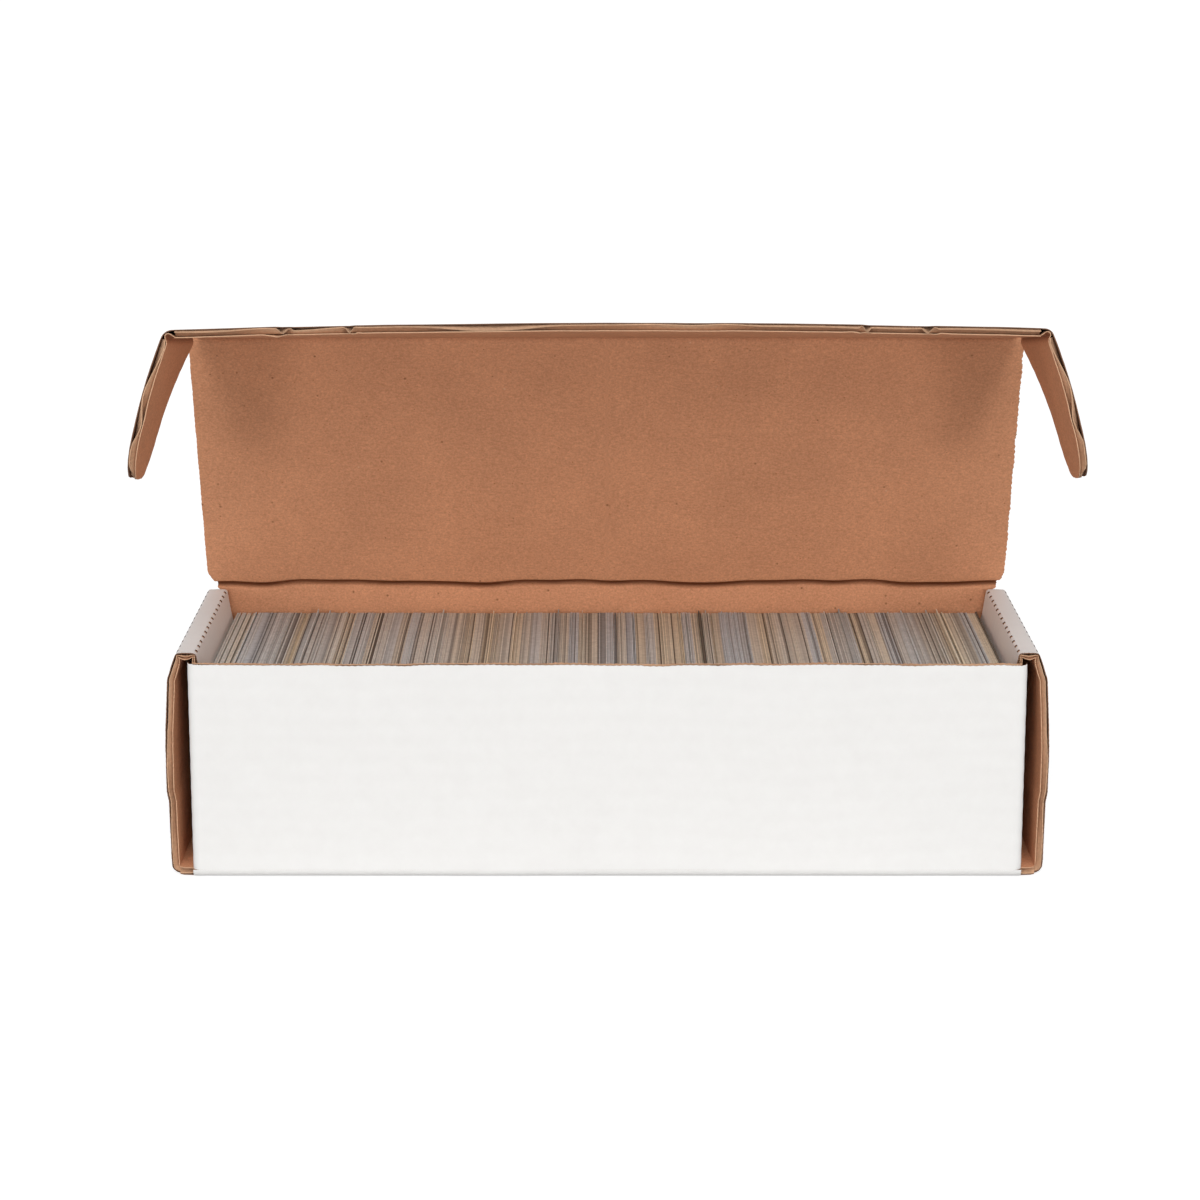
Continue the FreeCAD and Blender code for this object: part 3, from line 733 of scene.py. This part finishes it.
def build_wrap(name, side):
    """Front or back panel with the two corner flaps that are folded off its ends."""
    middle = CORNER_HIGH[0] - BOARD / 2
    outer = (FRONT_OUT[1] + BOARD / 2) * side
    tip = CORNER_HIGH[1] * side
    corners = [(-middle * side, tip), (-middle * side, outer), (middle * side, outer), (middle * side, tip)]
    top = reach_of(f"{name}_white_liner")[1][2]
    flap_top = CORNER_HIGH[2]
    base = FRONT_OUT[2]
    fold = Fold(corners, [BOARD / 2] * 2, (0, 0, 0), np.eye(3), True)
    first, last = fold.bends
    drop, height = BOARD / 2 + 0.6, top - base

    def high(run):
        shape = np.interp(run, [first - drop - 0.8, first - drop, last + drop, last + drop + 0.8],
                          [flap_top, top, top, flap_top])
        return shape + (0.22 * wander(run, 85, 5) if name == "front" else 0)

    def swell(run, up):
        inside = np.clip(np.minimum(run - first, last - run) / 30, 0, 1)
        return -0.35 * inside * wander(run, 150, 8) * np.sin(np.pi * (up - base) / height)

    fold.low, fold.high, fold.swell = (lambda run: np.full(run.shape, base)), high, swell
    for bend in fold.bends:
        fold.crease(bend, 0.5, 0.0, 1.3)
    run = stations(fold.length, 1.0 if name == "front" else 4, fold.bends, 0.4, 3.2)
    share = stations(height, 1.06, (height,), 0.5, 1.2) / height
    wave_run = stations(fold.length, 6, fold.bends, 0.6, 3)
    wave_share = stations(height, 0.55) / height
    ends = ("left", "right")
    panels = [name, *(f"{name}_{end}_flap" for end in ends)]
    nodes = layers_of(*panels, white=[f"{name}_{end}_fold" for end in ends])
    raw = {"start": 0.3, "end": 0.3}
    if name == "front":
        raw["high"] = 0.2
    add_board(name, fold, run, share, wave_run, wave_share, nodes, "box", raw=raw)


def build_bottom():
    """Bottom panel with the folds that turn up into the front and the back."""
    edge, foot = FRONT_OUT[1], BOARD
    corners = [(edge, foot), (edge, 0), (-edge, 0), (-edge, foot)]
    deep = reach_of("bottom_white_liner")[1][0]
    short = CORNER_HIGH[0] - 0.2
    fold = Fold(corners, [BOARD] * 2, (0, 0, 0), ALONG_X, False)
    fold.points += fold.facing * BOARD / 2
    first, last = fold.bends

    def half(run):
        turn = BOARD * math.pi / 4
        return np.interp(run, [first + turn, first + turn + 0.4, last - turn - 0.4, last - turn],
                         [short, deep, deep, short])

    fold.low, fold.high = (lambda run: -half(run)), half
    run = stations(fold.length, 1.3, fold.bends, 0.4, 2.5)
    share = stations(2 * deep, 6, (0, 2 * deep), 1.5, 4) / (2 * deep)
    nodes = layers_of("bottom", white=["front_bottom_fold", "back_bottom_fold"])
    add_board("bottom", fold, run, share, stations(fold.length, 0.7), share, nodes, "box")


def build_end(name, side):
    """Outer end wall, rolled over its perforated creases and down again as the inner end."""
    board, perforation = settings().board, settings().perforation
    bottom = reach_of("bottom_white_liner")[1][0]
    wall, shoulder, top = WALL_HIGH[0], WALL_HIGH[2], ROLL_HIGH[2]
    far = wall - ROLL_SHOULDER
    inner, end = INNER_LOW[0], INNER_LOW[2]
    near, waist_out, waist_up, hip_up = inner + 2.7, inner + 1.6, 67.5, 60
    corners = [
        (bottom, 0), (wall, 0), (wall, shoulder), (far, top), (near, top), (waist_out, waist_up),
        (inner, hip_up), (inner, end),
    ]
    axes = ((side, 0, 0), (0, 0, 1), (0, 1, 0))
    fold = Fold(corners, [BOARD, 6, 1.3, 1.3, 2, 3], (0, 0, 0), axes, True)
    fold.points += fold.facing * BOARD / 2
    foot, knee, outer_crease, inner_crease, waist, hip = fold.bends
    wide, inner_wide = WALL_HIGH[1], INNER_HIGH[1]

    def half(run):
        past = np.clip((run - hip) / 8, 0, 1)
        return wide + (inner_wide - wide) * np.sqrt(1 - (1 - past) ** 2)

    fold.low, fold.high = (lambda run: -half(run)), half
    heights = [0, 4, 12, 24, 27.5, 42, 49, 57, 64, 68, 70]
    bulges = [0, 0.25, 0.35, 0.5, 1.0, 1.0, 0.8, 0.4, 0, -0.1, 0]

    def swell(run, across):
        lip = 0.35 + 0.65 * (np.abs(across) / wide) ** 2
        amount = np.interp(run - foot, heights, bulges) * board.wall_bulge / MM
        return np.where(run < knee + 4, -amount * lip, 0)

    fold.swell = swell
    for crease in (outer_crease, inner_crease):
        fold.crease(crease, 1.1, 0.12, 1.9)
    fold.crease(waist, 1.5, 0.0, 6.0)
    run = stations(fold.length, 0.9, (foot, outer_crease, inner_crease), 0.35, 3.5)
    run = np.unique(np.concatenate((run, foot + np.array((24, 25.5, 27.5)))))
    share = stations(2 * wide, 1.06, (0, 2 * wide), 0.5, 1.2) / (2 * wide)
    wave_share = stations(2 * wide, 0.55) / (2 * wide)
    nodes = layers_of(f"{name}_wall", f"{name}_inner_end", white=[f"{name}_roll", f"{name}_bottom_fold"])
    cut = []
    for crease, width in ((outer_crease, perforation.outer_width), (inner_crease, perforation.inner_width)):
        facing = fold.at(fold.facing, crease)
        spot = (fold.at(fold.points, crease) - facing * BOARD / 2) * MM
        start = -perforation.pitch * (perforation.count - 1) / 2
        cut.append({
            "Count": perforation.count, "Pitch": perforation.pitch,
            "Place": (side * spot[0], start, spot[1]),
            "Turn": (0, math.atan2(side * facing[0], facing[1]), 0),
            "Slit": (width, perforation.length, 2.4 * MM),
            # dark slit sides: painted shade of the holes
            "Material": brown_paper("Slit painted shade", settings().finish.slit, 0.95),
        })
    add_board(
        f"{name}_end", fold, run, share, run, wave_share, nodes, "box", raw={"low": 0.4, "high": 0.4}, cut=cut
    )


def build_lid():
    """Lid with the crease that hinges it to the back panel."""
    board = settings().board
    below = LID_AXIS[2] - reach_of("back_white_liner")[1][2]
    end = LID_SPAN - HINGE_SIDE
    away_from_axis = LID_WAY[1:] * end
    corners = [(0, -below), (0, 0), tuple(away_from_axis)]
    fold = Fold(corners, [3], LID_AXIS * (0, 1, 1), ALONG_X, False)
    axis = fold.bends[0]
    wide, crease_wide = LID_HIGH[0], CORNER_HIGH[0] + 1.1

    def half(run):
        return np.interp(run - axis, [-3, -1.6, -0.8, 4.8], [crease_wide - 1.5, crease_wide, crease_wide, wide])

    fold.low = lambda run: -half(run)
    fold.high = lambda run: half(run) - 0.6 * np.clip((run - axis) / 5, 0, 1)
    fold.crease(axis, board.valley / MM, 0.0, 0.8, 0.8, 14)
    fold.crease(axis, 0.0, -1.1, 2.0)

    def swell(run, across):
        held = np.clip((run - axis - 8) / 40, 0, 1) * np.clip((fold.length - run) / 14, 0, 1)
        return 0.3 * held * wander(across, 210, 31)

    fold.swell = swell
    run = stations(fold.length, 1.06, (axis,), 0.2, 3)
    share = stations(2 * wide, 3.5, (0, 2 * wide), 0.6, 2) / (2 * wide)
    wave_run = axis + HINGE_START + stations(fold.length - axis - HINGE_START, 0.55)
    wave_share = stations(2 * wide, 6, (0, 2 * wide), 1.2, 3) / (2 * wide)
    joined = ("box", "lid", LID_AXIS - (0, 0, below), LID_AXIS + LID_WAY * HINGE_START)
    add_board(
        "lid", fold, run, share, wave_run, wave_share, layers_of("lid", kraft=["lid_crease"]),
        joined=joined, raw={"low": 0.14, "high": 0.42},
    )


def flap_sag(out, across):
    """How far the bowed tuck flap lies off its plane, towards its kraft side."""
    bow, wide = settings().board.flap_bow / MM / 2, FLAP_HIGH[0]
    rise = np.clip((out - 2) / (FLAP_REACH - 2), 0, 1)
    shape = 2 - 2 * (across / wide) ** 2 + 0.25 * across / wide
    return -rise * (bow * shape + 0.06 * wander(across, 60, 4))


def build_tuck_flap():
    """Tuck flap with two shallow notches, and the crease that hinges it to the lid."""
    corners = [tuple(-LID_WAY[1:] * HINGE_SIDE), (0, 0), tuple(FLAP_WAY[1:] * FLAP_REACH)]
    wide = FLAP_HIGH[0]
    fold = Fold(corners, [2], FLAP_AXIS * (0, 1, 1), ALONG_X, False)
    axis = fold.bends[0]
    half = lambda run: np.interp(run - axis, [-0.6, 1.6], [LID_HIGH[0] - 0.4, wide])
    fold.low, fold.high = (lambda run: -half(run)), half
    fold.crease(axis, 0.9, 0.1, 1.3, 0.2, 17)

    def trim(run, across):
        past, taper = np.abs(np.abs(across) - NOTCH), 14
        depth = np.interp(past, [8, 12.5], [7.0, 0.0])
        last = fold.length - taper
        return run - depth * np.clip((run - last) / taper, 0, 1)

    def curl(run, across):
        edge = np.clip((run - fold.length + 8) / 8, 0, 1) ** 2
        torn = 0.8 * np.exp(-(((across + 103.5) / 2.0) ** 2))
        for spot in (-80, 79.5, 103):
            torn = torn + 0.3 * np.exp(-(((across - spot) / 3.0) ** 2)) * np.cos((across - spot) * 1.4)
        return edge * (torn + 0.04 * (1 + wander(across, 26, 9)))

    fold.trim, fold.curl = trim, curl
    fold.swell = lambda run, across: flap_sag(run - axis, across)
    run = stations(fold.length, 1.06, (axis, fold.length), 0.4, 3)
    across = np.array((-NOTCH, NOTCH)) + wide
    share = stations(2 * wide, 3.5, (0, 2 * wide, *(across - 10), *(across + 10)), 0.7, 3.5) / (2 * wide)
    wave_run = axis + HINGE_START + stations(fold.length - axis - HINGE_START, 0.5)
    joined = ("lid", "tuck_flap", FLAP_AXIS - LID_WAY * HINGE_SIDE, FLAP_AXIS + FLAP_WAY * HINGE_START)
    add_board(
        "tuck_flap", fold, run, share, wave_run, share, layers_of("tuck_flap", kraft=["flap_crease"]),
        joined=joined, raw={"end": 0.22},
    )


def build_ear(name, side):
    """Rounded ear with a sloped rear edge, and the crease that hinges it to the tuck flap."""
    board = settings().board
    root, front, reach, tip = 5.0, 73.5, 47.6, 12.0
    rear_out, rear_edge = [0, 6.5, 15, 20, 27, 36, 44], [root, 11, 19.4, 25, 32.8, 38, 41]
    start = FLAP_HIGH[0]
    axis_x = EAR_AXIS[0]
    way = np.array((math.cos(EAR_BEND), math.sin(EAR_BEND)))
    corners = [(start, 0), (axis_x, 0), (axis_x + way[0] * reach, way[1] * reach)]
    axes = ((side, 0, 0), FLAP_FACING, FLAP_WAY)
    fold = Fold(corners, [1.8 if side > 0 else 2.4], FLAP_AXIS * (0, 1, 1), axes, True)
    axis = fold.bends[0]
    length = fold.length - axis

    def arc(run):
        past = np.clip(run - axis - (length - tip), 0, tip)
        return tip - np.sqrt(np.maximum(tip * tip - past * past, 0))

    def low(run):
        return np.interp(run - axis, rear_out, rear_edge) + arc(run)

    fold.low, fold.high = low, (lambda run: front - arc(run))
    fold.crease(axis, 1.7, 0.1, 1.7)

    def swell(run, across):
        out = np.clip((run - axis - 1.5) / (length - 1.5), 0, 1)
        return -board.ear_bow / MM * 4 * out * (1 - out) * (0.75 + 0.25 * np.sin(across / 9))

    def curl(run, across):
        edge = np.clip((across - front + 9) / 9, 0, 1) ** 2 * np.clip((run - axis - 6) / 8, 0, 1)
        return edge * 0.14 * (1 + wander(run, 17, 13))

    fold.swell, fold.curl, fold.skew = swell, curl, 0.3
    fold.phase = FLAP_RUN + fold.drift * (wander(side * start, *DRIFT) - wander(0, *DRIFT))
    fold.shift = lambda run, across: flap_sag(across, side * start)[..., None] * FLAP_FACING
    run = stations(fold.length, 2.2, (axis, fold.length), 0.4, 4)
    width = front - root
    share = stations(width, 1.06, (0, width), 0.5, 1.5) / width
    wave_run = axis + HINGE_START + stations(length - HINGE_START, 1.5)
    wave_share = stations(width, 0.45) / width
    spot = FLAP_AXIS + np.array((side * axis_x, 0, 0))
    ear_way = np.array((side * way[0], 0, 0)) + way[1] * FLAP_FACING
    joined = ("tuck_flap", name, spot - (side * (axis_x - start), 0, 0), spot + ear_way * HINGE_START)
    add_board(
        name, fold, run, share, wave_run, wave_share, layers_of(name, kraft=[f"{name}_crease"]),
        joined=joined, raw={"low": 0.25, "high": 0.25, "end": 0.25},
    )


def build_cards():
    """Row of cards on edge, evenly spaced over the length that the CAD gives it."""
    cards = settings().cards
    length, depth, height = (CARD_HIGH - CARD_LOW) * MM
    step = length / cards.count
    start = ((CARD_LOW[0] * MM) + step / 2, (CARD_LOW[1] + CARD_HIGH[1]) / 2 * MM,
             (CARD_LOW[2] + CARD_HIGH[2]) / 2 * MM + cards.scatter / 2)
    values = {
        "Count": cards.count, "Start": start, "Step": step, "Card": (step, depth - 2 * cards.scatter, height),
        "Scatter": cards.scatter, "Bend": cards.bend, "Packet": cards.packet, "Seed": cards.seed,
        "Material": card_edges(),
    }
    mesh = bake_nodes(bpy.data.meshes.new("cards"), [(card_tree(), values)])
    add_piece("cards", mesh, ["card_row"], "box")


def add_light(name, turn, rise, softness, strength):
    """Soft light that comes from one side of the camera and lights the whole floor evenly."""
    lamp = bpy.data.lights.new(name, "SUN")
    lamp.energy, lamp.angle = strength, softness
    light = put(name, lamp)
    towards = Vector((math.sin(turn) * math.cos(rise), -math.cos(turn) * math.cos(rise), math.sin(rise)))
    light.rotation_euler = (-towards).to_track_quat("-Z", "Y").to_euler()
    light.location = towards * 2


def background_rays(tree):
    """1 for rays that show the background itself: to the camera, in a reflection or through glass."""
    path = add_node(tree, "ShaderNodeLightPath").outputs
    seen = path["Is Camera Ray"]
    for ray in ("Is Glossy Ray", "Is Transmission Ray"):
        seen = add_node(tree, MATH, {0: seen, 1: path[ray]}, operation="MAXIMUM")
    return seen


def build_stage():
    """Camera, floor, even sky and soft lights."""
    scene, stage = bpy.context.scene, settings().stage
    lens = bpy.data.cameras.new("camera")
    lens.lens, lens.sensor_width = stage.lens, 36
    camera = put("camera", lens)
    camera.location = stage.camera
    camera.rotation_euler = (stage.tilt, 0, 0)
    scene.camera = camera

    extent, under = 40.0, -0.2 * MM
    sheet = bpy.data.meshes.new("floor")
    ways = ((-1, -1), (1, -1), (1, 1), (-1, 1))
    sheet.from_pydata([(x * extent, y * extent, under) for x, y in ways], [], [(0, 1, 2, 3)])
    floor = put("floor", sheet)
    material = bpy.data.materials.new("Studio floor")
    tree = blank_tree(material)
    matt = add_node(tree, "ShaderNodeBsdfDiffuse", {"Color": tuple(settings().finish.floor)})
    glow = add_node(tree, "ShaderNodeEmission", {"Color": (1, 1, 1, 1), "Strength": stage.floor_lift})
    seen = background_rays(tree)
    lifted = add_node(tree, "ShaderNodeAddShader", {0: matt, 1: glow})
    shown = add_node(tree, "ShaderNodeMixShader", {0: seen, 1: matt, 2: lifted})
    add_node(tree, "ShaderNodeOutputMaterial", {"Surface": shown})
    sheet.materials.append(material)

    scene.world = bpy.data.worlds.new("studio")
    tree = blank_tree(scene.world)
    power = add_node(tree, RANGE, {"Value": background_rays(tree), 3: stage.sky, 4: 1.0})
    sky = add_node(tree, "ShaderNodeBackground", {"Color": (1, 1, 1, 1), "Strength": power})
    add_node(tree, "ShaderNodeOutputWorld", {"Surface": sky})

    for end, side in (("left", -1), ("right", 1)):
        add_light(f"{end} softbox", side * stage.side_turn, stage.side_rise, stage.softness, stage.side_light)
        add_light(f"{end} front", side * stage.front_turn, stage.side_rise, stage.softness, stage.front_light)
    add_light("top softbox", 0.0, stage.top_rise, stage.top_softness, stage.top_light)
    scene.view_settings.view_transform = "Standard"


class CARDBOX_OT_tray(bpy.types.Operator):
    """Builds the front, back and bottom of the tray with their folds and corner flaps"""
    bl_idname = "cardbox.tray"
    bl_label = "Tray"

    def execute(self, context):
        build_bottom()
        build_wrap("front", 1)
        build_wrap("back", -1)
        return {"FINISHED"}


class CARDBOX_OT_ends(bpy.types.Operator):
    """Builds the rolled ends with their perforated creases"""
    bl_idname = "cardbox.ends"
    bl_label = "Rolled ends"

    def execute(self, context):
        build_end("left", -1)
        build_end("right", 1)
        return {"FINISHED"}


class CARDBOX_OT_lid(bpy.types.Operator):
    """Builds the lid and its crease"""
    bl_idname = "cardbox.lid"
    bl_label = "Lid"

    def execute(self, context):
        build_lid()
        return {"FINISHED"}


class CARDBOX_OT_tuck_flap(bpy.types.Operator):
    """Builds the notched tuck flap and its crease"""
    bl_idname = "cardbox.tuck_flap"
    bl_label = "Tuck flap"

    def execute(self, context):
        build_tuck_flap()
        return {"FINISHED"}


class CARDBOX_OT_ears(bpy.types.Operator):
    """Builds the two ears and their creases"""
    bl_idname = "cardbox.ears"
    bl_label = "Ears"

    def execute(self, context):
        build_ear("left_ear", -1)
        build_ear("right_ear", 1)
        return {"FINISHED"}


class CARDBOX_OT_cards(bpy.types.Operator):
    """Stands the row of cards in the tray"""
    bl_idname = "cardbox.cards"
    bl_label = "Cards"

    def execute(self, context):
        build_cards()
        return {"FINISHED"}


class CARDBOX_OT_stage(bpy.types.Operator):
    """Sets up the floor, lights and camera"""
    bl_idname = "cardbox.stage"
    bl_label = "Stage"

    def execute(self, context):
        build_stage()
        return {"FINISHED"}


OPERATORS = (
    CARDBOX_OT_stage, CARDBOX_OT_tray, CARDBOX_OT_ends, CARDBOX_OT_lid, CARDBOX_OT_tuck_flap, CARDBOX_OT_ears,
    CARDBOX_OT_cards,
)


class CARDBOX_PT_panel(bpy.types.Panel):
    """Lists the steps that dress the box"""
    bl_idname = "CARDBOX_PT_panel"
    bl_label = "Card box"
    bl_space_type = "VIEW_3D"
    bl_region_type = "UI"
    bl_category = "Card box"

    def draw(self, context):
        for operator in OPERATORS:
            self.layout.operator(operator.bl_idname)
        for name in ("board", "perforation", "cards", "finish", "stage"):
            group = getattr(context.scene.card_box, name)
            column = self.layout.column(heading=name.title())
            for prop in group.__annotations__:
                column.prop(group, prop)


CLASSES = (
    BoardSettings, PerforationSettings, CardSettings, FinishSettings, StageSettings, CardBoxSettings,
    *OPERATORS, CARDBOX_PT_panel,
)


def register():
    for item in CLASSES:
        bpy.utils.register_class(item)
    bpy.types.Scene.card_box = bpy.props.PointerProperty(type=CardBoxSettings)


def unregister():
    del bpy.types.Scene.card_box
    for item in reversed(CLASSES):
        bpy.utils.unregister_class(item)


def main():
    register()
    for operator in OPERATORS:
        getattr(bpy.ops.cardbox, operator.bl_idname.split(".")[1])()
    bpy.context.view_layer.update()


if __name__ == "__main__":
    main()
